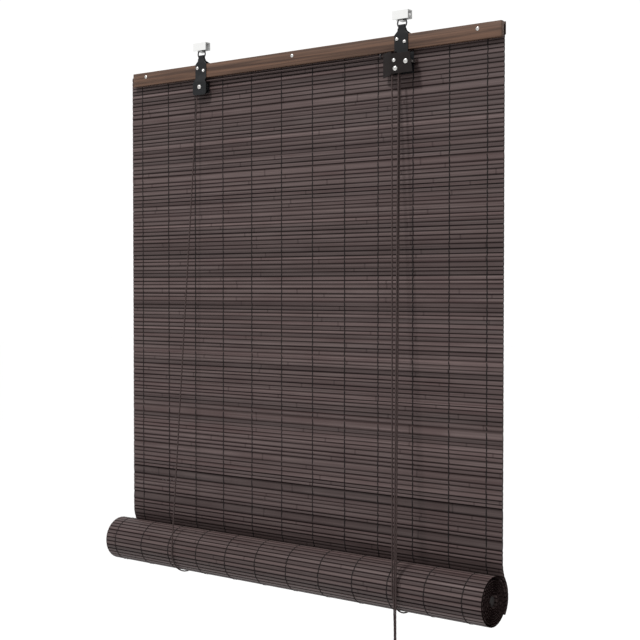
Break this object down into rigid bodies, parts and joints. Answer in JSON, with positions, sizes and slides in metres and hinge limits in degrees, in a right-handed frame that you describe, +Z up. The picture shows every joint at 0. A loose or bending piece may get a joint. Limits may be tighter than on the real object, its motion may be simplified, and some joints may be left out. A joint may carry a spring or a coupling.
{
  "type": "bamboo roll-up blind",
  "caption": "Dark bamboo slat blind, half rolled up on lift cords that pass under the roll, hung by strap rings from ceiling brackets, with a cord lock and a pull.",
  "frame": {"origin": "midway between the two ceiling screws, on the ceiling's face", "axes": "+X to the blind's right as seen from the room, +Y towards the window, +Z up; the room is at -Y"},
  "size_m": [0.8, 0.096, 1.0917],
  "materials": {
    "batten_wood": "walnut stain, satin",
    "strip_wood": "dark stain, satin",
    "bamboo": "dark brown stain, satin",
    "thread": "matt cotton",
    "rod_wood": "dark stain",
    "bracket_white": "white powder coat",
    "black_steel": "satin black",
    "ring_steel": "gloss black wire",
    "nickel": "bright nickel",
    "lock_brown": "dark brown satin",
    "wheel_plastic": "black nylon",
    "cam_steel": "plain steel",
    "cord": "twisted dark brown cord",
    "tie_band": "matt",
    "tassel_wood": "dark stain, satin"
  },
  "bodies": {
    "headrail": {"batten": "batten_wood", "batten_nails": "nickel", "cord_entry_eye": "ring_steel", "left_ceiling_bracket": "bracket_white", "left_cord_crossover": "cord", "left_hanger_ring": "ring_steel", "left_lift_cord_back": "cord", "left_lift_cord_front": "cord", "left_pull_cord": "cord", "left_pulley_back_plate": "black_steel", "left_pulley_rivet": "nickel", "left_rear_eye": "ring_steel", "left_strap": "black_steel", "left_strap_rivets": "nickel", "lock_anvil": "cam_steel", "lock_anvil_rivet": "nickel", "lock_cam_rivet": "nickel", "lock_cover": "lock_brown", "lock_guide_rivet": "nickel", "narrow_slats": "bamboo", "rear_strip": "strip_wood", "right_ceiling_bracket": "bracket_white", "right_cord_in_lock": "cord", "right_hanger_ring": "ring_steel", "right_lift_cord_back": "cord", "right_lift_cord_front": "cord", "right_pull_cord": "cord", "right_rear_eye": "ring_steel", "right_strap": "black_steel", "right_strap_rivets": "nickel", "warp_threads": "thread", "wide_slats": "bamboo"},
    "roll_carrier": {"left_lift_sling": "cord", "right_lift_sling": "cord", "bend_slats": "bamboo", "bend_threads": "thread"},
    "mat_roll": {"mat_roll": "bamboo", "core_rod": "rod_wood"},
    "tassel": {"left_cord_hank": "cord", "right_cord_hank": "cord", "hank_tie": "tie_band", "pull_tassel": "tassel_wood", "tassel_cord_ends": "cord"},
    "left_wheel": {"left_pulley_wheel": "wheel_plastic"},
    "guide_wheel": {"lock_guide_pulley": "wheel_plastic"},
    "cam": {"lock_cam": "cam_steel"}
  },
  "joints": [
    {"name": "roll_lift", "type": "slide", "parent": "headrail", "child": "roll_carrier", "axis": [0, 0, 1], "range_m": [0, 0.7], "deforming": ["narrow_slats", "wide_slats", "warp_threads", "left_lift_cord_front", "right_lift_cord_front", "left_lift_cord_back", "right_lift_cord_back"]},
    {"name": "roll_turn", "type": "hinge", "parent": "roll_carrier", "child": "mat_roll", "pos_m": [0, -0.0154, -0.915], "axis": [1, 0, 0], "continuous": true},
    {"name": "tassel_pull", "type": "slide", "parent": "headrail", "child": "tassel", "axis": [0, 0, -1], "range_m": [0, 1.4], "deforming": ["left_pull_cord", "right_pull_cord"]},
    {"name": "left_wheel_turn", "type": "hinge", "parent": "headrail", "child": "left_wheel", "pos_m": [-0.217, -0.00065, -0.079], "axis": [0, 1, 0], "continuous": true},
    {"name": "guide_wheel_turn", "type": "hinge", "parent": "headrail", "child": "guide_wheel", "pos_m": [0.2102, -0.0072, -0.0793], "axis": [0, 1, 0], "continuous": true},
    {"name": "cam_swing", "type": "hinge", "parent": "headrail", "child": "cam", "pos_m": [0.2325, -0.00765, -0.083], "axis": [0, 1, 0], "range_deg": [-25, 0]}
  ],
  "couplings": [
    {"joint": "roll_turn", "follows": "roll_lift", "rad_per_m": -25.907},
    {"joint": "tassel_pull", "follows": "roll_lift", "ratio": 2},
    {"joint": "left_wheel_turn", "follows": "roll_lift", "rad_per_m": 200},
    {"joint": "guide_wheel_turn", "follows": "roll_lift", "rad_per_m": 322.58}
  ]
}
